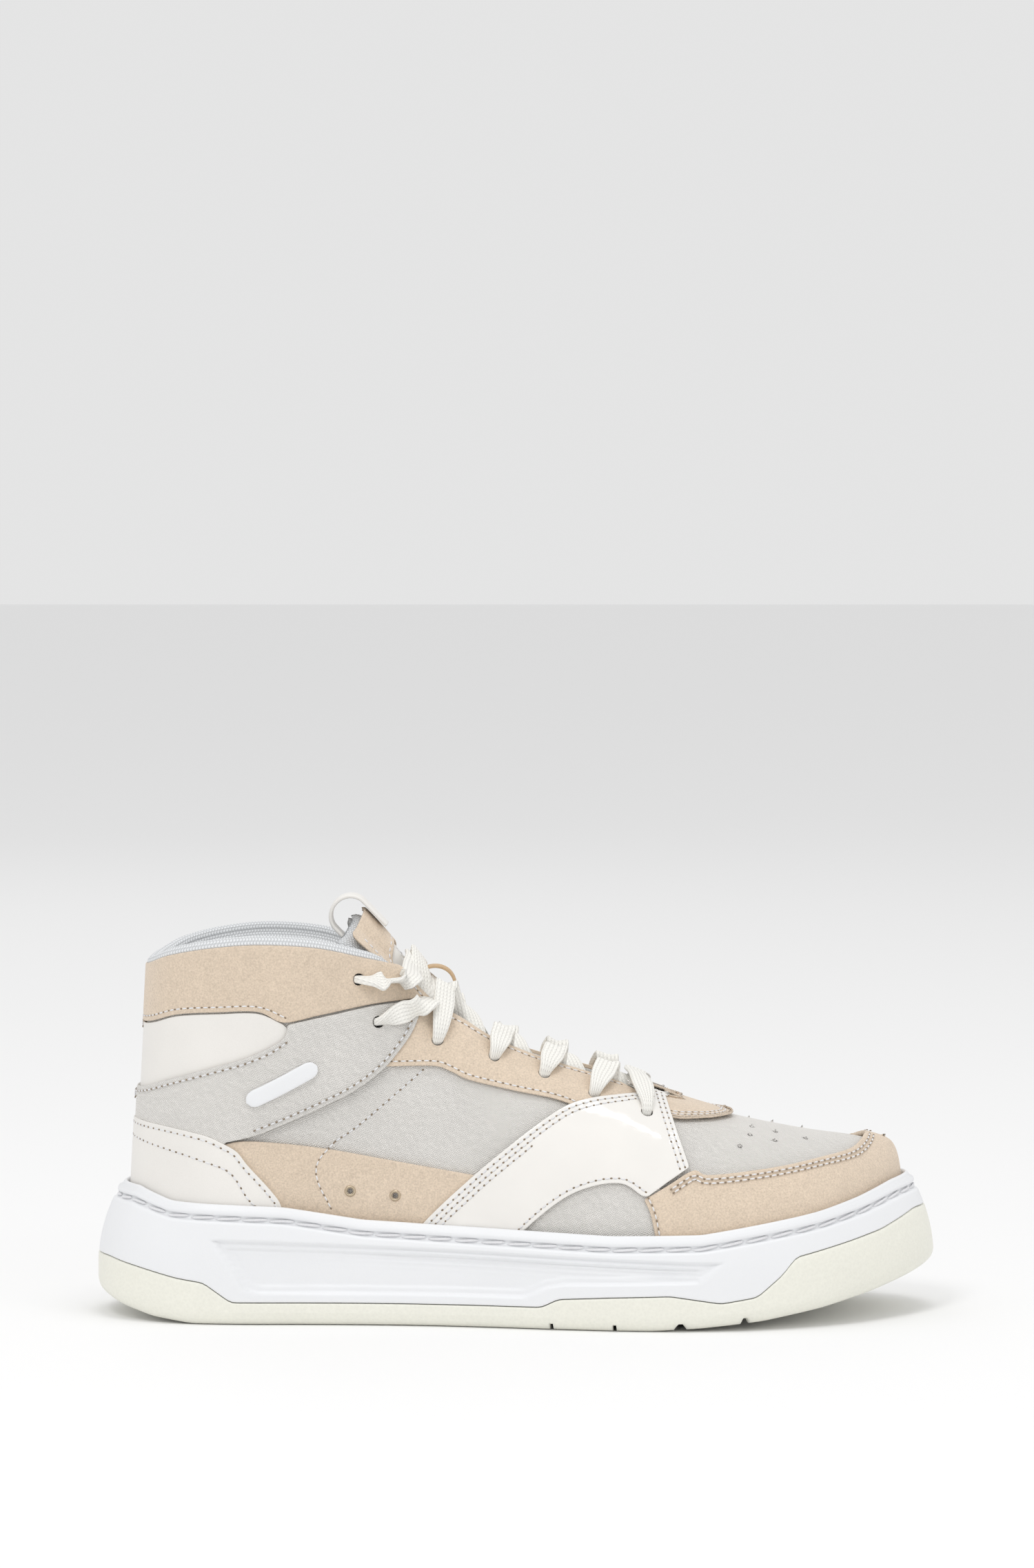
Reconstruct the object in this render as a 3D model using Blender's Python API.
"""Basketball high top, right shoe, in metres with +Z up.

The toe points to +X, the outer (lateral) side faces -Y and the ground is Z = 0.
Sizes below are in millimetres. Places along the shoe are measured from the heel tip.
"""

import math

import bmesh
import bpy
from mathutils import Vector

MM = 0.001

# ---- driving sizes -------------------------------------------------------------------
SHOE_LENGTH = 305.0
SHOE_WIDTH = 114.0
SHOE_HEIGHT = 152.0
SKIN = 1.2  # thickness of one leather or suede panel
LAYER_GAP = 0.3  # air between two stacked panels
SEAM_GAP = 0.4  # air between two panels that meet edge to edge
LIP_WALL = 1.5  # midsole wall at its upper lip
LIP_LEAN_SIDE = 2.5  # how far the lip leans in, along the sides
LIP_LEAN_END = 9.0  # how far the lip leans in, at heel and toe
TUCK = 12.0  # depth of the upper inside the cup of the midsole
OUTSOLE_WALL = 2.2
OUTSOLE_FLOOR = 4.5
BOARD = 1.5  # lasting board
BOARD_DROP = 0.5  # the board lies this far below the upper's cut edge
SOCKLINER = 4.5
COLLAR_PAD = 5.0  # extra foam round the ankle
COLLAR_TRIM = 5.5  # foam and lining end this far below the collar edge
BINDING_RADIUS = 2.4
EYELET_HOLE = 4.6
LACE_DIAMETER = 2.0
LACE_CLEARANCE = 0.6
TONGUE_WIDTH = 43.0
TONGUE_FOAM = 5.5
TONGUE_SKIN = 1.0
TONGUE_RISE = 37.4  # height of the tongue above the last eyelet row
PULL_LOOP_WIDTH = 14.0
PULL_LOOP_TAPE = 1.4
PULL_LOOP_GAP = 6.0  # clear height between the tongue's top and the loop
KEEPER_WIDTH = 8.0
SIPE_WIDTH = 1.2
SIPE_DEPTH = 2.4

# The shapes below are drawn for these overall sizes and graded to the ones above.
DRAWN_LENGTH = 305.0
DRAWN_WIDTH = 114.0
DRAWN_HEIGHT = 152.0

# Plan outline of the sole, one row for each station from heel to toe:
# distance from the heel tip, lateral edge, medial edge.
OUTLINE = (
    (0, 0, 0),
    (3, -14, 14),
    (12, -27, 27),
    (30, -37, 37),
    (52, -40, 39.5),
    (76, -40.2, 38.6),
    (98, -41, 36.8),
    (116, -42.6, 36.2),
    (134, -45.3, 37.2),
    (152, -49, 40.5),
    (170, -52.8, 45.5),
    (190, -56, 51.5),
    (212, -57, 56),
    (236, -54.5, 57),
    (262, -45, 52),
    (284, -29, 40),
    (299, -10, 27.5),
    (305, 9, 9),
)
# Upper edge of the upper at the same stations: round the collar, then along the ridge.
# Distance from the heel tip, half width, height.
TOP_RAIL = (
    (19, 0, 127),
    (21.5, 13, 128.5),
    (29, 24.5, 132),
    (43, 32.5, 135),
    (60, 35.5, 136.5),
    (80, 34, 135.3),
    (96, 28.5, 131.5),
    (110.5, 18.5, 127),
    (119, 0, 122),
    (135, 0, 108),
    (155, 0, 97.5),
    (180, 0, 88.5),
    (205, 0, 79),
    (230, 0, 71.3),
    (255, 0, 66),
    (272, 0, 63.6),
    (282, 0, 61.5),
    (286, 0, 60),
)
LAST_STATION = len(OUTLINE) - 1
RIDGE_START = 8  # station where the collar ends and the ridge begins
# Heights along the sole: (distance from the heel tip, height).
LIP_LINE = ((0, 48), (10, 48), (26, 44), (69, 42.3), (97, 38), (124, 36.5), (185, 34),
            (218, 34.5), (241, 38), (263, 41.5), (280, 45), (296, 49), (305, 50))
OUTSOLE_LINE = ((0, 22), (5, 22), (16, 19.7), (30, 16.5), (40, 15), (50, 8), (161, 8),
                (167, 11), (185, 12), (207, 12.7), (225, 10), (238, 12), (247, 19.5),
                (252, 25.6), (274, 30.3), (285, 32.8), (300, 38), (305, 38))
GROUND_LINE = ((0, 8), (8, 5.2), (20, 2), (36, 0), (200, 0), (218, 1.0), (241, 3.2),
               (263, 6.8), (280, 10.5), (296, 14.8), (305, 17.5))
SIPES = (164.5, 187.0, 210.5, 233.7)

# Panel outlines, seen from the side: (distance from the heel tip, height).
COLLAR_SEAM = ((-10, 105), (16.5, 106), (31, 110.5), (47, 112), (60, 112.2), (69, 108.3),
               (82, 110.9), (100, 114.3), (117, 115.7))
ANKLE_EDGE = ((-10, 79), (14.6, 82), (28.5, 87), (43.8, 92), (55, 95.5), (63, 99),
              (69, 103), (70.4, 105))
STRAP_EDGE = ((47.6, 64.8), (59, 67.6), (71.5, 72.7), (86, 79.3), (95.5, 84.3),
              (104, 90.6), (109, 96), (114.6, 104), (117, 114))
HEEL_EDGE = ((-10, 71.8), (13.2, 71.3), (28.5, 69.8), (41, 67.4), (47.6, 64.5),
             (52.5, 61.6), (56, 57), (64.6, 47.4), (68.2, 41.4), (70, 18))
MIDFOOT_EDGE = ((46, 64), (56.5, 65.5), (80, 63.3), (107.5, 58.6), (139, 53.5))
SADDLE_REAR = ((108, 18), (119.8, 37), (137.6, 53.8), (155, 67.7), (168, 76), (178, 78.8),
               (190, 79.4), (197.5, 79.2))
SADDLE_FRONT = ((207.5, 72), (213.8, 55.9))
SADDLE_LOWER = ((206, 51.2), (201, 47.9), (197.7, 46.6), (190, 51), (179, 50), (168, 45),
                (155, 34), (148, 18))
EYESTAY_EDGE = ((104.5, 92), (122, 92), (128.5, 90), (135, 87), (151, 83), (168.5, 79),
                            (184, 72), (194.8, 69))
MUDGUARD_EDGE = ((197.7, 45.7), (206, 50.2), (213.5, 54.4), (216.8, 55), (221, 53.4),
                 (243, 55), (260, 57.3), (276, 58.5), (279, 60.5), (280, 72))
# Half the throat opening, seen from above: (distance from the heel tip, half width).
THROAT = ((214, 0), (213, 5), (210, 8.5), (204, 11), (193, 12.5), (170, 14.5), (150, 16),
          (130, 17.5), (117, 18.5), (108, 19.5), (98, 22), (70, 22))
VAMP_TIP = ((230, 0), (228.5, 8), (223, 16), (214, 22), (208, 24), (202.2, 24))
# Eyelets on each side, from the collar down: (distance from the heel tip, height).
EYELETS = ((95.4, 123.5), (102.5, 108), (123.7, 101), (144, 94.5), (162, 88), (180, 81),
           (198.5, 73.5))
VENTS = ((92.7, 47.5), (109, 46))
# Section of a vent's ring, as (radius, height above the suede).
VENT_SECTION = ((1.1, 0.1), (1.55, 0), (2.0, 0.1), (2.0, 0.45), (1.55, 0.7), (1.1, 0.45))
VENT_SIDES = 10

COLUMNS = 22  # faces from heel to toe, on each side, of the sole and the upper
ROWS = 7  # faces of a panel shell from sole to top

FINISHES = {
    # name: (linear colour, roughness, metallic)
    "suede": ((0.72, 0.58, 0.44), 0.95, 0.0),
    "smooth_leather": ((0.78, 0.77, 0.74), 0.45, 0.0),
    "grained_leather": ((0.80, 0.78, 0.76), 0.6, 0.0),
    "patent_leather": ((0.84, 0.84, 0.82), 0.08, 0.0),
    "rubber": ((0.90, 0.91, 0.93), 0.45, 0.0),
    "translucent_rubber": ((0.78, 0.79, 0.68), 0.35, 0.0),
    "thread": ((0.86, 0.86, 0.88), 0.6, 0.0),
    "mesh": ((0.72, 0.75, 0.77), 0.9, 0.0),
    "foam": ((0.86, 0.85, 0.80), 0.9, 0.0),
    "board": ((0.55, 0.45, 0.33), 0.85, 0.0),
    "lace": ((0.90, 0.88, 0.85), 0.85, 0.0),
    "tan_leather": ((0.60, 0.42, 0.26), 0.6, 0.0),
    "metal": ((0.75, 0.74, 0.70), 0.35, 1.0),
}


# ---- small helpers -------------------------------------------------------------------
def along(x):
    """A drawn distance from the heel tip, graded to the shoe's length."""
    return x * SHOE_LENGTH / DRAWN_LENGTH


def across(y):
    """A drawn half width, graded to the shoe's width."""
    return y * SHOE_WIDTH / DRAWN_WIDTH


def above(z):
    """A drawn height, graded to the shoe's height."""
    return z * SHOE_HEIGHT / DRAWN_HEIGHT


def world(point):
    """From the heel tip in millimetres to the shoe's middle in metres."""
    x, y, z = point
    return Vector((x - SHOE_LENGTH / 2, y, z)) * MM


def height_at(line, x):
    """Height of a drawn line at x, both graded."""
    drawn = x * DRAWN_LENGTH / SHOE_LENGTH
    for (x0, z0), (x1, z1) in zip(line, line[1:]):
        if drawn <= x1:
            share = max(0.0, (drawn - x0) / (x1 - x0))
            return above(z0 + (z1 - z0) * share)
    return above(line[-1][1])


def smooth_step(low, high, value):
    share = min(1.0, max(0.0, (value - low) / (high - low)))
    return share * share * (3 - 2 * share)


def curve_through(points, place):
    """A point on the smooth curve through points, with place counted in points."""
    first = min(int(place), len(points) - 4)
    t = place - first
    before, start, end, after = (Vector(p) for p in points[first : first + 4])
    return 0.5 * (
        2 * start
        + (end - before) * t
        + (2 * before - 5 * start + 4 * end - after) * t**2
        + (3 * start - before - 3 * end + after) * t**3
    )


def rounded(points, steps):
    """The points of an open outline with its corners eased into curves."""
    first, last = Vector(points[0]), Vector(points[-1])
    padded = [2 * first - Vector(points[1]), *points, 2 * last - Vector(points[-2])]
    spans = len(points) - 1
    return [tuple(curve_through(padded, i / steps)) for i in range(spans * steps)] + [tuple(last)]


def shifted(points, dx, dz):
    return [(x + dx, z + dz) for x, z in points]


# ---- the last: sole outline and upper surface ----------------------------------------
def outline_points(side):
    """Outline rows of one side, with a row of the other side before and after them."""
    own, other = (1, 2) if side < 0 else (2, 1)
    rows = [(OUTLINE[1][0], OUTLINE[1][other])]
    rows += [(row[0], row[own]) for row in OUTLINE]
    rows.append((OUTLINE[-2][0], OUTLINE[-2][other]))
    return [(along(x), across(y)) for x, y in rows]


OUTLINE_POINTS = {side: outline_points(side) for side in (-1, 1)}


def outline_at(side, station, inset):
    """Plan point of the sole edge at a station, moved inwards by inset."""
    points = OUTLINE_POINTS[side]
    here = curve_through(points, station)
    step = 0.02
    back = curve_through(points, max(station - step, 0))
    ahead = curve_through(points, min(station + step, LAST_STATION))
    tangent = (ahead - back).normalized()
    if station < step or station > LAST_STATION - step:
        tangent = Vector((0, side)) if station < step else Vector((0, -side))
    inward = Vector((tangent.y, -tangent.x)) * side
    return here + inward * inset


def lip_lean(station):
    """How far the midsole lip leans in from the sole's widest line."""
    x = curve_through(OUTLINE_POINTS[-1], station).x
    heel = 1 - smooth_step(0, along(45), x)
    toe = smooth_step(along(250), SHOE_LENGTH, x)
    return LIP_LEAN_SIDE + (LIP_LEAN_END - LIP_LEAN_SIDE) * max(heel, toe)


STACK = SKIN + LAYER_GAP  # height of one panel layer
CUP_CLEARANCE = 0.5


def foot_inset(station):
    """Inset of the upper's base panels where they enter the midsole."""
    return lip_lean(station) + LIP_WALL + CUP_CLEARANCE + 2 * STACK


def rail_points(side):
    rows = [(along(x), side * across(y), above(z)) for x, y, z in TOP_RAIL]
    before = (rows[1][0], -rows[1][1], rows[1][2])
    after = tuple(2 * last - previous for last, previous in zip(rows[-1], rows[-2]))
    return [before, *rows, after]


RAIL_POINTS = {side: rail_points(side) for side in (-1, 1)}


def toe_shift(station):
    """The ridge follows the toe's turn to the inner side."""
    return across(7.0) * smooth_step(12.5, LAST_STATION, station)


def top_at(side, station):
    top = curve_through(RAIL_POINTS[side], station)
    if station >= RIDGE_START:
        top.y = toe_shift(station)
    return top


def upper_point(side, station, rise):
    """A point on the outside of the base panels. rise runs from 0 at the sole to 1."""
    foot = outline_at(side, station, foot_inset(station))
    foot_z = height_at(LIP_LINE, outline_at(side, station, 0).x) - TUCK
    top = top_at(side, station)
    arch = smooth_step(5.0, RIDGE_START, station)
    power = 1.0 - 0.16 * smooth_step(11, 15, station)
    angle = rise * math.pi / 2
    lean = (1 - rise) * (1 - arch) + math.cos(angle) ** power * arch if rise < 1 else 0.0
    lift = rise * (1 - arch) + math.sin(angle) ** power * arch if rise > 0 else 0.0
    waist = 1 - 0.07 * (1 - arch) * math.sin(math.pi * rise)
    x = top.x + (foot.x - top.x) * lean
    y = (top.y + (foot.y - top.y) * lean) * waist
    return Vector((x, y, foot_z + (top.z - foot_z) * lift))


def upper_normal(side, station, rise):
    """The outward direction of the upper at a place, the same on both sides of a seam."""
    step = 0.02
    s0, s1 = max(station - step, 0), min(station + step, LAST_STATION)
    r0, r1 = max(rise - step, 0.0), min(rise + step, 1.0)
    over = upper_point(side, s1, rise) - upper_point(side, s0, rise)
    up = upper_point(side, station, r1) - upper_point(side, station, r0)
    normal = over.cross(up).normalized() * -side
    if rise >= 1 and station >= RIDGE_START:
        normal = Vector((normal.x, 0, normal.z)).normalized()
    if station <= 0:
        normal = Vector((normal.x, 0, normal.z)).normalized()
    return normal


def place_on_upper(side, x, z):
    """Station and rise of the point that is seen at x, z from the side."""
    x, z = along(x), above(z)
    best = min(PLACES[side], key=lambda p: (p[2].x - x) ** 2 + (p[2].z - z) ** 2)
    station, rise = best[0], best[1]
    reach_s, reach_r = 0.25, 0.03
    for _ in range(12):
        tries = []
        for ds in (-reach_s, 0, reach_s):
            for dr in (-reach_r, 0, reach_r):
                s = min(max(station + ds, 0), LAST_STATION)
                r = min(max(rise + dr, 0), 1)
                p = upper_point(side, s, r)
                tries.append(((p.x - x) ** 2 + (p.z - z) ** 2, s, r))
        _, station, rise = min(tries)
        reach_s, reach_r = reach_s * 0.6, reach_r * 0.6
    return station, rise


PLACES = {
    side: [
        (s / 4, r / 30, upper_point(side, s / 4, r / 30))
        for s in range(4 * LAST_STATION + 1)
        for r in range(31)
    ]
    for side in (-1, 1)
}


# ---- scene and mesh helpers ----------------------------------------------------------
def clear_scene():
    for obj in list(bpy.data.objects):
        bpy.data.objects.remove(obj, do_unlink=True)
    for mesh in list(bpy.data.meshes):
        bpy.data.meshes.remove(mesh)


def material(finish, name):
    colour, roughness, metallic = FINISHES[finish]
    mat = bpy.data.materials.new(name)
    mat.use_nodes = True
    shader = mat.node_tree.nodes["Principled BSDF"]
    shader.inputs["Base Color"].default_value = (*colour, 1)
    shader.inputs["Roughness"].default_value = roughness
    shader.inputs["Metallic"].default_value = metallic
    mat.diffuse_color = (*colour, 1)
    return mat


def add_object(name, bm, finish, smooth=True):
    bmesh.ops.recalc_face_normals(bm, faces=bm.faces)
    mesh = bpy.data.meshes.new(name)
    bm.to_mesh(mesh)
    bm.free()
    obj = bpy.data.objects.new(name, mesh)
    bpy.context.scene.collection.objects.link(obj)
    if finish:
        mesh.materials.append(material(finish, name + "_finish"))
    if smooth:
        mesh.shade_smooth()
        mesh.set_sharp_from_angle(angle=math.radians(40))
    return obj


def as_cutter(obj):
    obj.hide_render = True
    obj.display_type = "WIRE"
    return obj


def boolean(obj, cutter, operation):
    modifier = obj.modifiers.new(cutter.name, "BOOLEAN")
    modifier.object = cutter
    modifier.operation = operation
    modifier.solver = "EXACT"


def split_quad(bm, corners, flip):
    """Two triangles with a chosen diagonal, so that stacked skins bend alike."""
    a, b, c, d = corners
    if flip:
        bm.faces.new((a, b, c))
        bm.faces.new((a, c, d))
    else:
        bm.faces.new((a, b, d))
        bm.faces.new((b, c, d))


def ring_faces(bm, ring_a, ring_b):
    count = len(ring_a)
    for i in range(count):
        j = (i + 1) % count
        split_quad(bm, (ring_a[i], ring_a[j], ring_b[j], ring_b[i]), i < count // 2)


def cap_across(bm, ring):
    """Closes a ring with strips that run from its lateral to its medial side."""
    half = len(ring) // 2
    for i in range(half):
        left, right = ring[i], ring[i + 1]
        far_left, far_right = ring[-i % len(ring)], ring[-(i + 1) % len(ring)]
        corners = [left, right]
        if far_right is not right:
            corners.append(far_right)
        if far_left is not left:
            corners.append(far_left)
        bm.faces.new(corners)


def sole_ring(inset, height, own=False):
    """A loop of points round the sole. inset is a function of station, height of x.

    x is that of the sole's edge at the station, or with own the point's own.
    """
    stops = [LAST_STATION * i / COLUMNS for i in range(COLUMNS + 1)]
    loop = [(-1, s) for s in stops] + [(1, s) for s in stops[-2:0:-1]]
    points = []
    for side, station in loop:
        plan = outline_at(side, station, inset(station))
        edge = plan if own else outline_at(side, station, 0)
        points.append((plan.x, plan.y + SIDE_SHIFT, height(edge.x)))
    return points


def lofted(name, rings, finish, closed=False):
    """A solid through the rings. closed joins the last ring to the first, as on a tube."""
    bm = bmesh.new()
    loops = [[bm.verts.new(world(p)) for p in ring] for ring in rings]
    for a, b in zip(loops, loops[1:]):
        ring_faces(bm, a, b)
    if closed:
        ring_faces(bm, loops[-1], loops[0])
    else:
        cap_across(bm, loops[0])
        cap_across(bm, loops[-1])
    return add_object(name, bm, finish)


def prism(name, outline, low, high, plane="XZ"):
    """A cutter: a flat outline carried from low to high, along Y for XZ or Z for XY."""
    bm = bmesh.new()
    if plane == "XZ":
        flat = [(along(x), low, above(z)) for x, z in outline]
        carry = Vector((0, high - low, 0))
    else:
        flat = [(along(x), across(y) + SIDE_SHIFT, low) for x, y in outline]
        carry = Vector((0, 0, high - low))
    face = bm.faces.new([bm.verts.new(world(p)) for p in flat])
    grown = bmesh.ops.extrude_face_region(bm, geom=[face])["geom"]
    moved = [v for v in grown if isinstance(v, bmesh.types.BMVert)]
    bmesh.ops.translate(bm, verts=moved, vec=carry * MM)
    return as_cutter(add_object(name, bm, None, smooth=False))


# ---- sole ----------------------------------------------------------------------------
def sole_extent_shift():
    """Moves the drawing sideways so that the sole's widest points are centred on Y = 0."""
    lateral = min(outline_at(-1, s / 10, 0).y for s in range(10 * LAST_STATION))
    medial = max(outline_at(1, s / 10, 0).y for s in range(10 * LAST_STATION))
    return -(lateral + medial) / 2


SIDE_SHIFT = sole_extent_shift()


def ground(x):
    return height_at(GROUND_LINE, x)


def split_height(x):
    """Where the outsole's rim ends and the midsole's wall begins."""
    return height_at(OUTSOLE_LINE, x)


def lip_height(x):
    return height_at(LIP_LINE, x)


def cup_floor(x):
    """Top of the midsole inside its cup, below the lasting board."""
    return lip_height(x) - TUCK - BOARD - 2 * LAYER_GAP - BOARD_DROP


def lean_at(station, share):
    """Inset of the outer wall at a share of the way from its widest line to the lip."""
    return lip_lean(station) * share * share


def rim_share(x):
    """How far up the outer wall the outsole's rim reaches."""
    return max(0.0, (split_height(x) - above(18)) / (lip_height(x) - above(18)))


def make_outsole():
    def rim_inset(extra):
        return lambda s: lean_at(s, rim_share(outline_at(-1, s, 0).x)) + extra

    floor_inset = rim_inset(OUTSOLE_WALL)
    rings = [
        sole_ring(lambda s: 5.0, ground, own=True),
        sole_ring(lambda s: 1.4, lambda x: ground(x) + 0.8, own=True),
        sole_ring(lambda s: 0.0, lambda x: ground(x) + 4.0),
        sole_ring(rim_inset(0.0), split_height),
        sole_ring(floor_inset, split_height),
        sole_ring(lambda s: floor_inset(s) + 0.6, lambda x: ground(x) + OUTSOLE_FLOOR),
    ]
    outsole = lofted("outsole", rings, "translucent_rubber")
    for number, place in enumerate(SIPES):
        low = ground(along(place)) / above(1) - 1.5
        half = SIPE_WIDTH / 2
        top = low + 1.5 + SIPE_DEPTH
        corners = [(place - half, low - 4), (place + half, low - 4), (place + half, top), (place - half, top)]
        cutter = prism(f"sipe_cut_{number}", corners, -SHOE_WIDTH, SHOE_WIDTH)
        boolean(outsole, cutter, "DIFFERENCE")
    return outsole


def make_midsole():
    gap = LAYER_GAP

    def rim(s):
        return lean_at(s, rim_share(outline_at(-1, s, 0).x))

    def groove(extra):
        return lambda s: lean_at(s, 0.86) + extra

    def lip(extra):
        return lambda s: lip_lean(s) + extra

    foot = OUTSOLE_WALL + 0.6 + gap
    rings = [
        sole_ring(lambda s: rim(s) + foot, lambda x: ground(x) + OUTSOLE_FLOOR + gap),
        sole_ring(lambda s: rim(s) + OUTSOLE_WALL + gap, lambda x: split_height(x) + gap),
        sole_ring(rim, lambda x: split_height(x) + gap),
        sole_ring(groove(0.0), lambda x: lip_height(x) - 6.4),
        sole_ring(groove(GROOVE_DEPTH), lambda x: lip_height(x) - 5.9),
        sole_ring(groove(GROOVE_DEPTH), lambda x: lip_height(x) - 3.9),
        sole_ring(groove(0.0), lambda x: lip_height(x) - 3.4),
        sole_ring(lip(0.0), lambda x: lip_height(x) - 0.6),
        sole_ring(lip(LIP_WALL), lip_height),
        sole_ring(lip(LIP_WALL + 0.3), cup_floor),
    ]
    return lofted("midsole", rings, "rubber")


GROOVE_DEPTH = 1.6


def make_sidewall_thread():
    def at(extra):
        return lambda s: lean_at(s, 0.86) + extra

    rings = [
        sole_ring(at(0.15), lambda x: lip_height(x) - 5.3),
        sole_ring(at(GROOVE_DEPTH - 0.35), lambda x: lip_height(x) - 5.3),
        sole_ring(at(GROOVE_DEPTH - 0.35), lambda x: lip_height(x) - 4.4),
        sole_ring(at(0.15), lambda x: lip_height(x) - 4.4),
    ]
    return lofted("sidewall_stitch_thread", rings, "thread", closed=True)


def make_lasting_board():
    def edge(s):
        return lip_lean(s) + LIP_WALL + 0.3 + LAYER_GAP

    rings = [
        sole_ring(edge, lambda x: cup_floor(x) + LAYER_GAP),
        sole_ring(edge, lambda x: cup_floor(x) + LAYER_GAP + BOARD),
    ]
    return lofted("lasting_board", rings, "board")


def make_sockliner():
    def edge(s):
        return foot_inset(s) + LINING_INNER + 0.6

    top = 2 * LAYER_GAP + BOARD
    rings = [
        sole_ring(edge, lambda x: cup_floor(x) + top),
        sole_ring(edge, lambda x: cup_floor(x) + top + SOCKLINER - 1),
        sole_ring(lambda s: edge(s) + 1.5, lambda x: cup_floor(x) + top + SOCKLINER),
    ]
    return lofted("sockliner", rings, "foam")


# ---- upper ---------------------------------------------------------------------------
LINING_INNER = 2 * STACK + SKIN  # depth of the lining's inner face below the base


def collar_padding(station, rise):
    """Extra foam thickness: full round the ankle, none at the throat or near the sole."""
    ankle = 1 - smooth_step(5.6, 6.9, station)
    return COLLAR_PAD * ankle * smooth_step(0.55, 0.8, rise)


def shell(name, outer, inner, trim=0.0):
    """A closed shell round the whole upper, between two depths outside its base face."""
    bm = bmesh.new()
    stops = [LAST_STATION * i / COLUMNS for i in range(COLUMNS + 1)]
    made = {}

    def vertex(side, i, k, skin):
        on_centre = i in (0, COLUMNS) or (k == ROWS and stops[i] >= RIDGE_START)
        key = (0 if on_centre else side, i, k, skin)
        if key not in made:
            station = stops[i]
            lowered = trim / above(95) * smooth_step(0.9, 1.9, RIDGE_START - station)
            rise = k / ROWS if k < ROWS else 1 - lowered
            depth = (outer, inner)[skin](station, rise)
            point = upper_point(side, station, rise)
            point += upper_normal(side, station, rise) * depth
            if on_centre and 0 < i < COLUMNS:
                point.y = toe_shift(station)
            point.y += SIDE_SHIFT
            made[key] = bm.verts.new(world(point))
        return made[key]

    for side in (-1, 1):
        for i in range(COLUMNS):
            for k in range(ROWS):
                for skin in (0, 1):
                    corners = [
                        vertex(side, i, k, skin),
                        vertex(side, i + 1, k, skin),
                        vertex(side, i + 1, k + 1, skin),
                        vertex(side, i, k + 1, skin),
                    ]
                    split_quad(bm, corners, side > 0)
            for k in (0, ROWS):
                if k == ROWS and stops[i] >= RIDGE_START:
                    continue
                corners = [
                    vertex(side, i, k, 0),
                    vertex(side, i + 1, k, 0),
                    vertex(side, i + 1, k, 1),
                    vertex(side, i, k, 1),
                ]
                split_quad(bm, corners, side > 0)
    obj = as_cutter(add_object(name, bm, None))
    return obj


def layer_shell(level, trim=0.0):
    """Level 0 is the base panels; 1 and 2 are sewn over it."""
    out = level * STACK
    return shell(f"layer_{level}", lambda s, r: out, lambda s, r: out - SKIN, trim)


def panel(name, source, finish, cuts):
    """A copy of a layer shell with its cuts: (cutter, operation) pairs."""
    obj = bpy.data.objects.new(name, source.data.copy())
    bpy.context.scene.collection.objects.link(obj)
    obj.data.materials.append(material(finish, name + "_finish"))
    for cutter, operation in cuts:
        boolean(obj, cutter, operation)
    return obj


SIDES = {
    "lateral": (-SHOE_WIDTH, -SEAM_GAP / 2),
    "medial": (SEAM_GAP / 2, SHOE_WIDTH),
    "whole": (-SHOE_WIDTH, SHOE_WIDTH),
}


def side_prism(name, outline, side):
    low, high = SIDES[side]
    if side != "whole":
        low, high = low + SIDE_SHIFT, high + SIDE_SHIFT
    return prism(f"{name}_cut", outline, low, high)


def throat_cutter():
    half = rounded(THROAT, 2)
    loop = half + [(x, -y) for x, y in reversed(half) if y > 0.01]
    return prism("throat_cut", loop, above(50), above(190), "XY")


def eyelet_cutter(name, side, x, z, diameter, depth):
    station, rise = place_on_upper(side, x, z)
    centre = upper_point(side, station, rise)
    normal = upper_normal(side, station, rise)
    centre.y += SIDE_SHIFT
    bm = bmesh.new()
    bmesh.ops.create_cone(bm, cap_ends=True, segments=8, radius1=diameter / 2 * MM,
                          radius2=diameter / 2 * MM, depth=2 * depth * MM)
    turn = normal.to_track_quat("Z", "Y").to_matrix().to_4x4()
    bmesh.ops.transform(bm, matrix=turn, verts=bm.verts)
    bmesh.ops.translate(bm, verts=bm.verts, vec=world(centre))
    return as_cutter(add_object(name, bm, None, smooth=False))


def above_line(line, x_end, top):
    """The region above a line, as an outline."""
    return [*line, (x_end, top), (line[0][0], top)]


def below_line(line, bottom):
    return [*line, (line[-1][0], bottom), (line[0][0], bottom)]


def outline_regions():
    """Every panel's region seen from the side, with the seam gaps between neighbours."""
    gap = SEAM_GAP
    ankle_top = [p for p in shifted(COLLAR_SEAM, 0, -gap) if p[0] < 62]
    strap_top = shifted(ANKLE_EDGE, 0.3, -gap)
    strap_top += [(70, 107.6)]
    strap_top += [p for p in shifted(COLLAR_SEAM, 0, -gap) if p[0] > 75]
    heel_top = [p for p in HEEL_EDGE if p[0] < 48]
    return {
        "collar_suede": above_line(COLLAR_SEAM, 117, 175),
        "ankle_panel": [*ankle_top, (68, 107.4), *reversed(ANKLE_EDGE)],
        "ankle_strap": [*strap_top, *reversed(STRAP_EDGE), *reversed(shifted(heel_top[:-1], 0, gap))],
        "heel_overlay": [*HEEL_EDGE, (-10, 18)],
        "midfoot_suede": below_line(MIDFOOT_EDGE, 18),
        "saddle": [*SADDLE_REAR, (198.5, 95), (206.5, 95), *SADDLE_FRONT, *SADDLE_LOWER],
        "eyestay": [*EYESTAY_EDGE, (194.8, 130), (131, 130), (124, 112.5), (105, 108)],
        "arch_insert": [(146, 18), (150, 36), (163, 50), (178, 55), (192, 56), (203, 50),
                        (208, 36), (208, 18)],
        "mudguard": [*MUDGUARD_EDGE, (292, 80), (330, 80), (330, 8), (203.5, 8), (201.8, 32.7)],
    }


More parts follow.
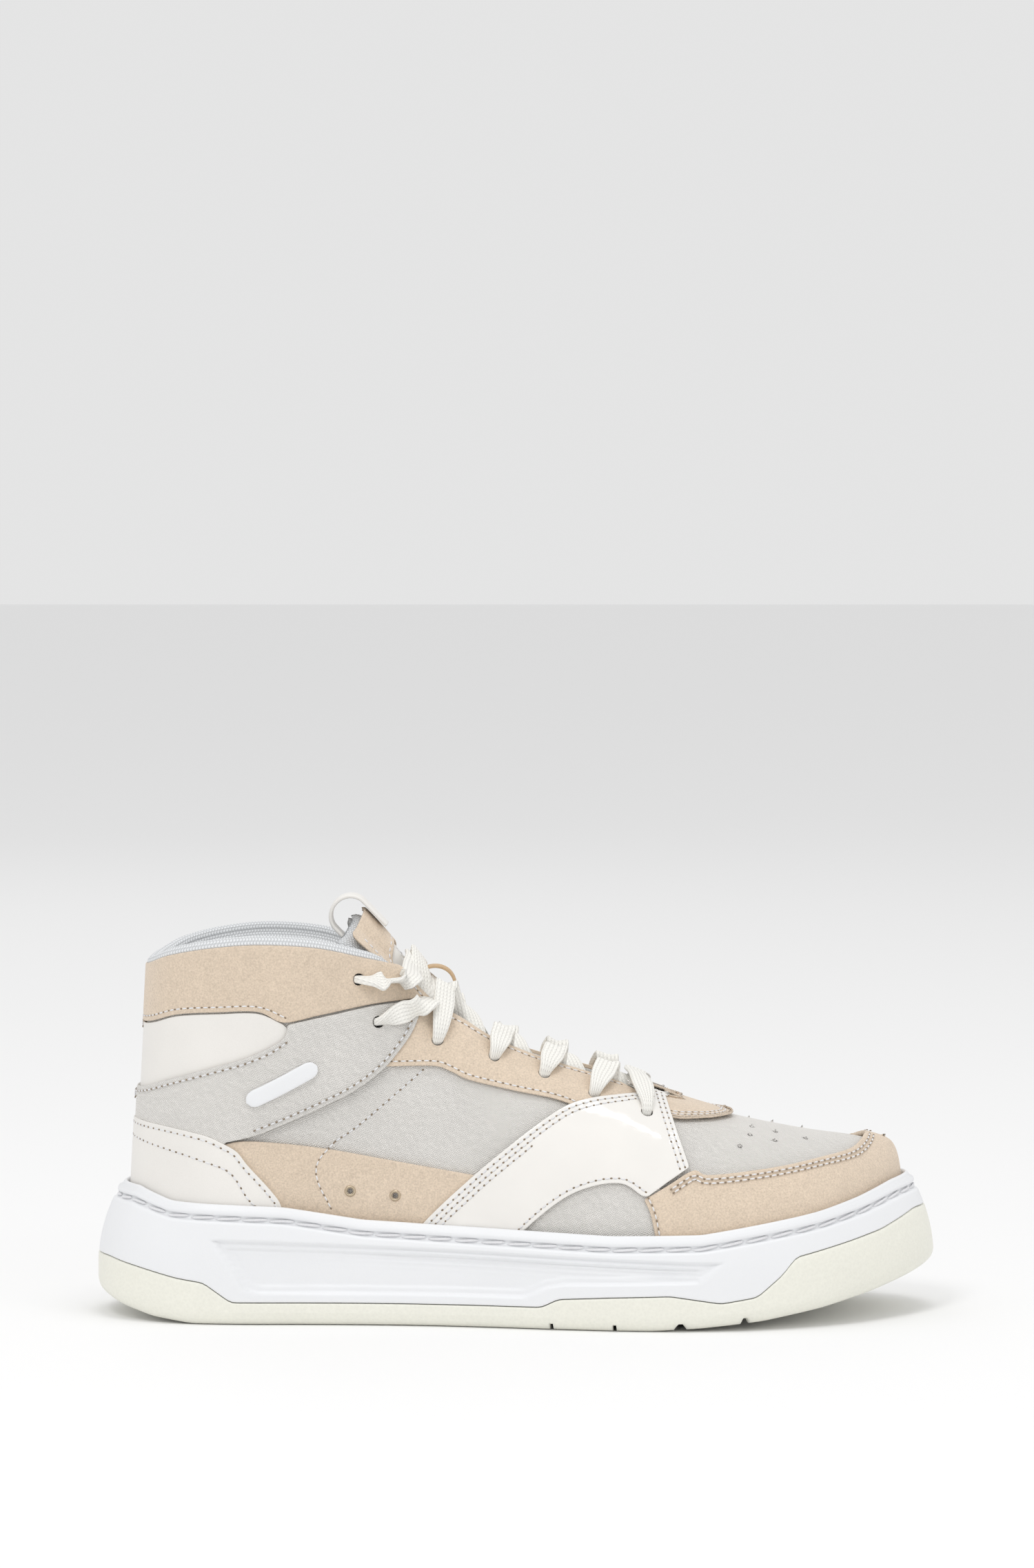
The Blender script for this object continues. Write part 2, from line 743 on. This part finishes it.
def make_upper():
    regions = outline_regions()
    throat = throat_cutter()
    base, first, second = (layer_shell(level) for level in (0, 1, 2))
    holes = {}
    for side, word in ((-1, "lateral"), (1, "medial")):
        for number, (x, z) in enumerate(EYELETS, 1):
            name = f"eyelet_cut_{word}_{number}"
            holes[word, number] = eyelet_cutter(name, side, x, z, EYELET_HOLE, 16)
    both = ("lateral", "medial")
    cut_throat = (throat, "DIFFERENCE")

    def pierced(word, numbers):
        return [(holes[word, n], "DIFFERENCE") for n in numbers]

    def keep(name, side="whole", region=None):
        cutter = side_prism(f"{name}_{side}", regions[region or name], side)
        return (cutter, "INTERSECT")

    rear = [(-20, 0), (203.6, 0), (203.6, 190), (-20, 190)]
    front = [(204, 0), (330, 0), (330, 190), (204, 190)]
    regions["quarter"], regions["vamp"] = rear, front
    panel("vamp", base, "grained_leather", [keep("vamp"), cut_throat])
    for word in both:
        panel(f"quarter_{word}", base, "grained_leather",
              [keep("quarter", word), cut_throat, *pierced(word, range(1, 8))])
        panel(f"midfoot_suede_{word}", first, "suede", [keep("midfoot_suede", word)])
        panel(f"arch_insert_{word}", first, "grained_leather", [keep("arch_insert", word)])
        panel(f"eyestay_{word}", first, "suede",
              [keep("eyestay", word), cut_throat, *pierced(word, range(3, 7))])
        panel(f"saddle_{word}", second, "patent_leather",
              [keep("saddle", word), cut_throat, *pierced(word, (7,))])
    every = [*pierced("lateral", (1,)), *pierced("medial", (1,))]
    panel("collar_suede", first, "suede", [keep("collar_suede"), cut_throat, *every])
    panel("ankle_panel", first, "smooth_leather", [keep("ankle_panel")])
    every = [*pierced("lateral", (2,)), *pierced("medial", (2,))]
    panel("ankle_strap", second, "grained_leather", [keep("ankle_strap"), cut_throat, *every])
    panel("heel_overlay", second, "smooth_leather", [keep("heel_overlay")])
    panel("mudguard", second, "suede", [keep("mudguard")])
    half = rounded(VAMP_TIP, 2)
    loop = half + [(x, -y) for x, y in reversed(half) if y > 0.01]
    tip = prism("vamp_tip_cut", loop, above(40), above(190), "XY")
    panel("vamp_tip", first, "suede", [(tip, "INTERSECT"), cut_throat])
    make_inner_layers(throat, holes, pierced)


def make_inner_layers(throat, holes, pierced):
    """Stiffeners and foam behind the base panels, then the lining."""
    back = SKIN + LAYER_GAP

    def foam_back(s, r):
        return -back - SKIN - collar_padding(s, r)

    def lining_front(s, r):
        return foam_back(s, r) - LAYER_GAP

    def lining_back(s, r):
        return lining_front(s, r) - SKIN

    middle = shell("layer_inner", lambda s, r: -back, foam_back, COLLAR_TRIM)
    skin = shell("layer_lining", lining_front, lining_back, COLLAR_TRIM)
    counter = [(-20, 0), (66, 0), (66, 60), (52, 76), (-20, 80)]
    foam = [(-20, 80.4), (52.3, 76.4), (66.4, 60.2), (66.4, 0), (238, 0), (238, 190), (-20, 190)]
    puff = [(238.4, 0), (330, 0), (330, 56), (283, 56), (271, 72), (238.4, 190)]
    cut_throat = (throat, "DIFFERENCE")
    panel("heel_counter", middle, "board", [(side_prism("heel_counter", counter, "whole"), "INTERSECT")])
    panel("toe_puff", middle, "board", [(side_prism("toe_puff", puff, "whole"), "INTERSECT")])
    for word in ("lateral", "medial"):
        cutter = side_prism(f"foam_{word}", foam, word)
        panel(f"collar_foam_{word}", middle, "foam",
              [(cutter, "INTERSECT"), cut_throat, *pierced(word, range(1, 8))])
    every = [*pierced("lateral", range(1, 8)), *pierced("medial", range(1, 8))]
    panel("lining", skin, "mesh", [cut_throat, *every])


def tube_ring(centre, across_way, up_way, radius, sides):
    turn = [2 * math.pi * i / sides for i in range(sides)]
    return [centre + across_way * math.cos(t) * radius + up_way * math.sin(t) * radius for t in turn]


def tube(name, centres, ways, radius, sides, finish):
    """A round bar along centres. ways are the two directions across it at each centre."""
    bm = bmesh.new()
    loops = []
    for centre, (one, other) in zip(centres, ways):
        ring = tube_ring(centre, one, other, radius, sides)
        loops.append([bm.verts.new(world(p)) for p in ring])
    for a, b in zip(loops, loops[1:]):
        ring_faces(bm, a, b)
    bm.faces.new(loops[0])
    bm.faces.new(loops[-1])
    return add_object(name, bm, finish)


def make_collar_binding():
    """The rolled edge of the lining, round the collar from eyelet to eyelet."""
    stops = [BINDING_END * i / 11 for i in range(12)]
    loop = [(-1, s) for s in reversed(stops)] + [(1, s) for s in stops[1:]]
    centres, ways = [], []
    for side, station in loop:
        top = upper_point(side, station, 1.0)
        out = upper_normal(side, station, 0.98)
        out = Vector((out.x, out.y, 0)).normalized()
        depth = SKIN + LAYER_GAP + BINDING_RADIUS + 0.3
        centre = top - out * depth + Vector((0, SIDE_SHIFT, BINDING_DROP))
        centres.append(centre)
        ways.append((out, Vector((0, 0, 1))))
    return tube("collar_binding", centres, ways, BINDING_RADIUS, 8, "mesh")


BINDING_DROP = -0.6  # height of the binding's middle against the collar edge
BINDING_END = 6.5  # station where the binding stops, short of the lacing


# ---- tongue --------------------------------------------------------------------------
TONGUE_BASE = 12.1  # station where the tongue is sewn in
TONGUE_ROWS = 8
TONGUE_TOP_ROWS = 5
TONGUE_COLUMNS = 10
TONGUE_GAP = 0.5  # space left between the tongue's layers, which curve more than the upper's
TONGUE_CROWN = 4.0  # depth of the tongue's face below the ridge
TONGUE_EDGE = 10.6  # depth of the tongue's face under the eyestays


def tongue_frame(station, offset):
    """Point on the base surface at a distance from the ridge, and its outward direction."""
    side = -1 if offset < 0 else 1
    foot = outline_at(side, station, foot_inset(station))
    share = min(1.0, abs(offset) / abs(foot.y - toe_shift(station)))
    rise = math.acos(share) * 2 / math.pi
    return upper_point(side, station, rise), upper_normal(side, station, min(rise, 1.0))


def tongue_point(row, column, depth):
    """A point of the tongue. Rows run from its sewn base to its free top."""
    across_share = 2 * column / TONGUE_COLUMNS - 1
    station = TONGUE_BASE + (RIDGE_START + 0.1 - TONGUE_BASE) * min(row / TONGUE_ROWS, 1.0)
    point = tongue_frame(station, across_share * TONGUE_WIDTH / 2)[0]
    crown = tongue_frame(station, 0)[1]
    edge = tongue_frame(station, math.copysign(TONGUE_WIDTH / 2, across_share))[1]
    normal = crown.lerp(edge, abs(across_share)).normalized()
    sunk = TONGUE_CROWN + (TONGUE_EDGE - TONGUE_CROWN) * smooth_step(0.05, 0.65, abs(across_share))
    point = point - normal * (sunk + depth)
    extra = max(0, row - TONGUE_ROWS) / TONGUE_TOP_ROWS
    if extra > 0:
        length = (TONGUE_RISE + 13 * across_share**2) * extra
        lean = math.radians(30 + 8 * extra)
        point += Vector((-math.sin(lean), 0, math.cos(lean))) * length
        point.y *= 1 + 0.55 * extra**2
        point.x -= 7 * across_share**2 * extra
    return point + Vector((0, SIDE_SHIFT, 0))


def tongue_plate(name, front, back, finish, first_row=0, last_row=None, narrow=0):
    """One layer of the tongue between two depths, over a stretch of its rows."""
    last_row = TONGUE_ROWS + TONGUE_TOP_ROWS if last_row is None else last_row
    rows = range(first_row, last_row + 1)
    columns = range(narrow, TONGUE_COLUMNS + 1 - narrow)
    bm = bmesh.new()
    grid = {
        (r, c, d): bm.verts.new(world(tongue_point(r, c, depth)))
        for r in rows
        for c in columns
        for d, depth in enumerate((front, back))
    }
    for r in rows[:-1]:
        for c in columns[:-1]:
            for d in (0, 1):
                corners = (grid[r, c, d], grid[r + 1, c, d], grid[r + 1, c + 1, d], grid[r, c + 1, d])
                split_quad(bm, corners, c < TONGUE_COLUMNS // 2)
    for r in (rows[0], rows[-1]):
        for c in columns[:-1]:
            bm.faces.new([grid[r, c, 0], grid[r, c + 1, 0], grid[r, c + 1, 1], grid[r, c, 1]])
    for c in (columns[0], columns[-1]):
        for r in rows[:-1]:
            bm.faces.new([grid[r, c, 0], grid[r + 1, c, 0], grid[r + 1, c, 1], grid[r, c, 1]])
    return add_object(name, bm, finish)


def strap_arch(name, outline_mm, width, finish):
    """A flat strap bent in the XZ plane: an outline carried across the shoe."""
    bm = bmesh.new()
    flat = [(x, SIDE_SHIFT - width / 2, z) for x, z in outline_mm]
    face = bm.faces.new([bm.verts.new(world(p)) for p in flat])
    grown = bmesh.ops.extrude_face_region(bm, geom=[face])["geom"]
    moved = [v for v in grown if isinstance(v, bmesh.types.BMVert)]
    bmesh.ops.translate(bm, verts=moved, vec=Vector((0, width * MM, 0)))
    return add_object(name, bm, finish)


def make_tongue():
    step = TONGUE_GAP
    parts = [tongue_plate("tongue_face", 0, TONGUE_SKIN, "smooth_leather")]
    foam_front = TONGUE_SKIN + step
    foam_back = foam_front + TONGUE_FOAM
    parts.append(tongue_plate("tongue_foam", foam_front, foam_back, "foam"))
    lining_front = foam_back + step
    parts.append(tongue_plate("tongue_lining", lining_front, lining_front + TONGUE_SKIN, "mesh"))
    rows = TONGUE_ROWS + TONGUE_TOP_ROWS
    parts.append(tongue_plate("tongue_suede_top", -step - TONGUE_SKIN, -step, "suede", rows - 2, rows, 1))
    parts.append(make_pull_loop(rows))
    parts.append(make_lace_keeper())
    return parts


def make_pull_loop(rows):
    """A leather tape sewn in front of and behind the tongue's top, with a finger gap."""
    middle = TONGUE_COLUMNS // 2
    top = tongue_point(rows, middle, 0)
    up = (top - tongue_point(rows - 1, middle, 0)).normalized()
    out = Vector((up.z, 0, -up.x))
    front = TONGUE_SKIN + 2 * TONGUE_GAP + 0.4
    back = 2 * TONGUE_SKIN + TONGUE_FOAM + 3 * TONGUE_GAP + 2.4
    centre, half = (front - back) / 2, (front + back) / 2

    def line(extra):
        places = [(-12, front + extra), (0, front + extra)]
        for i in range(1, 6):
            turn = math.pi * i / 6
            places.append((math.sin(turn) * (PULL_LOOP_GAP + extra), centre + math.cos(turn) * (half + extra)))
        places += [(0, -back - extra), (-4, -back - extra)]
        points = [top + up * a + out * b for a, b in places]
        return [(p.x, p.z) for p in points]

    return strap_arch("pull_loop", line(PULL_LOOP_TAPE) + line(0.0)[::-1], PULL_LOOP_WIDTH, "smooth_leather")


def make_lace_keeper():
    """A short loop on the tongue's face that the crossing lace runs through."""
    middle = TONGUE_COLUMNS // 2
    low = tongue_point(KEEPER_ROWS[0], middle, -LAYER_GAP)
    high = tongue_point(KEEPER_ROWS[1], middle, -LAYER_GAP)
    centre, half = (low + high) / 2, (high - low) / 2
    up = half.normalized()
    out = Vector((up.z, 0, -up.x))

    def line(extra):
        points = []
        for i in range(9):
            turn = math.pi * i / 8
            reach = math.cos(turn) * (half.length + extra)
            points.append(centre - up * reach + out * math.sin(turn) * (KEEPER_HEIGHT + extra))
        return [(p.x, p.z) for p in points]

    foot = out * 1.2
    centre = centre + foot
    return strap_arch("lace_keeper", line(1.0) + line(0.0)[::-1], KEEPER_WIDTH, "tan_leather")


KEEPER_ROWS = (7.0, 8.6)
KEEPER_HEIGHT = 8.7


# ---- lace ----------------------------------------------------------------------------
CROSS_ROWS = {7: 1.4, 6: 3.0, 5: 4.7, 4: 6.4, 3: 7.8, 2: 9.4}  # tongue rows that strands cross
CROSS_STEP = 3.0  # one strand passes this far above the other
COLLAR_STOPS = {1: (111, 121.5), 2: (117, 112.5)}  # throat edge beside the top two eyelets


def surface_at(side, place, depth):
    point = upper_point(side, *place) + upper_normal(side, *place) * depth
    point.y += SIDE_SHIFT
    return point


def throat_half_width(x):
    """Half the throat opening at x, both graded."""
    drawn = x * DRAWN_LENGTH / SHOE_LENGTH
    for (x0, w0), (x1, w1) in zip(THROAT, THROAT[1:]):
        if drawn >= x1:
            return across(w0 + (w1 - w0) * (x0 - drawn) / (x0 - x1)) if drawn < x0 else 0.0
    return across(THROAT[-1][1])


def edge_place(side, number, spot, margin):
    """The place near an eyelet that lies margin inside the throat's edge."""
    if number in COLLAR_STOPS:
        return place_on_upper(side, *COLLAR_STOPS[number])
    station, low = spot
    high = 1.0
    for _ in range(20):
        rise = (low + high) / 2
        point = upper_point(side, station, rise)
        if abs(point.y - toe_shift(station)) > throat_half_width(point.x) - margin:
            low = rise
        else:
            high = rise
    return station, low


def between(start, end, share):
    return tuple(a + (b - a) * share for a, b in zip(start, end))


def outside_depth():
    return 2 * STACK + LACE_DIAMETER / 2 + LACE_CLEARANCE


def inside_depth(place):
    return -(LINING_INNER + collar_padding(*place) + LACE_DIAMETER / 2 + LACE_CLEARANCE)


def over_tongue(number, side, over):
    """Five points across the tongue, the middle ones above or below the other strand."""
    middle = TONGUE_COLUMNS / 2
    row = CROSS_ROWS[number]
    rest = LACE_DIAMETER / 2 + 2.6 * LACE_CLEARANCE
    lift = CROSS_STEP if over else 0
    steps = (
        (2.4, -0.35, 1.9),
        (1.2, -0.2, lift * 0.7),
        (0, 0, lift),
        (-1.1, 0.2, max(lift * 0.9, 1.0)),
        (-2.1, 0.42, max(lift * 0.9, 3.4)),
    )
    return [
        tongue_point(row + climb, middle + side * column, -rest - height)
        for column, climb, height in steps
    ]


def strand(side, number, spots, over):
    """From inside an eyelet to outside the next one up on the other side."""
    start, goal = spots[side, number], spots[-side, number - 1]
    leave = edge_place(side, number, start, 0.0)
    enter = edge_place(-side, number - 1, goal, 2.0)
    points = []
    for share in (0, 0.5, 1):
        place = between(start, leave, share)
        points.append(surface_at(side, place, inside_depth(place)))
    points += over_tongue(number, side, over)
    for share, lift in ((1, 1.6), (0.5, 0.3), (0, 0)):
        points.append(surface_at(-side, between(goal, enter, share), outside_depth() + lift))
    return points


def lace_route():
    """Every point that the lace passes, from one end to the other."""
    spots = {
        (side, n): place_on_upper(side, x, z)
        for side in (-1, 1)
        for n, (x, z) in enumerate(EYELETS, 1)
    }
    halves = []
    for start in (-1, 1):
        side, points = start, []
        for number in range(7, 1, -1):
            points += strand(side, number, spots, over=(start == 1) == (number % 2 == 0))
            side = -side
        last = spots[side, 1]
        points.append(surface_at(side, last, inside_depth(last) - LACE_TAIL))
        halves.append(points)
    bar = []
    for side, shares in ((-1, (0, 0.35, 0.7, 1)), (1, (0.7, 0.35, 0))):
        station, rise = spots[side, 7]
        for share in shares:
            place = (station, rise + (1 - rise) * share)
            bar.append(surface_at(side, place, outside_depth() + 0.4))
    return [*reversed(halves[0]), *bar, *halves[1]]


LACE_TAIL = 3.0  # the tucked ends stand this far inside the top eyelets


def make_lace():
    """One continuous cord through all fourteen eyelets."""
    samples = lace_route()
    curve = bpy.data.curves.new("lace", "CURVE")
    curve.dimensions = "3D"
    curve.bevel_depth = LACE_DIAMETER / 2 * MM
    curve.bevel_resolution = 1
    curve.use_fill_caps = True
    spline = curve.splines.new("POLY")
    spline.points.add(len(samples) - 1)
    for point, sample in zip(spline.points, samples):
        point.co = (*world(sample), 1)
    obj = bpy.data.objects.new("lace", curve)
    bpy.context.scene.collection.objects.link(obj)
    curve.materials.append(material("lace", "lace_finish"))
    return obj


# ---- small trim ----------------------------------------------------------------------
def make_vent(name, side, x, z):
    """A small rolled metal ring in the midfoot suede."""
    station, rise = place_on_upper(side, x, z)
    normal = upper_normal(side, station, rise)
    centre = surface_at(side, (station, rise), STACK + LAYER_GAP)
    bm = bmesh.new()
    points = [bm.verts.new((radius * MM, 0, height * MM)) for radius, height in VENT_SECTION]
    edges = [bm.edges.new(pair) for pair in zip(points, points[1:] + points[:1])]
    bmesh.ops.spin(
        bm, geom=points + edges, cent=(0, 0, 0), axis=(0, 0, 1), angle=math.tau, steps=VENT_SIDES
    )
    bmesh.ops.remove_doubles(bm, verts=bm.verts, dist=0.001 * MM)
    bmesh.ops.recalc_face_normals(bm, faces=bm.faces)
    turn = normal.to_track_quat("Z", "Y").to_matrix().to_4x4()
    bmesh.ops.transform(bm, matrix=turn, verts=bm.verts)
    bmesh.ops.translate(bm, verts=bm.verts, vec=world(centre))
    return add_object(name, bm, "metal")


def make_vents():
    for side, word in ((-1, "lateral"), (1, "medial")):
        for place, (x, z) in zip(("rear", "front"), VENTS):
            make_vent(f"vent_eyelet_{word}_{place}", side, x, z)


def parent_tongue(parts):
    """The tongue turns on the line where it is sewn to the vamp."""
    hinge = bpy.data.objects.new("tongue_hinge", None)
    bpy.context.scene.collection.objects.link(hinge)
    hinge.location = world(tongue_hinge_point())
    bpy.context.view_layer.update()
    for part in parts:
        part.parent = hinge
        part.matrix_parent_inverse = hinge.matrix_world.inverted()


def tongue_hinge_point():
    middle = TONGUE_COLUMNS // 2
    point = tongue_point(0, middle, TONGUE_SKIN + TONGUE_FOAM / 2)
    return Vector((point.x, SIDE_SHIFT, point.z))


def main():
    clear_scene()
    make_outsole()
    make_midsole()
    make_sidewall_thread()
    make_lasting_board()
    make_sockliner()
    make_upper()
    make_collar_binding()
    parent_tongue(make_tongue())
    make_lace()
    make_vents()


main()
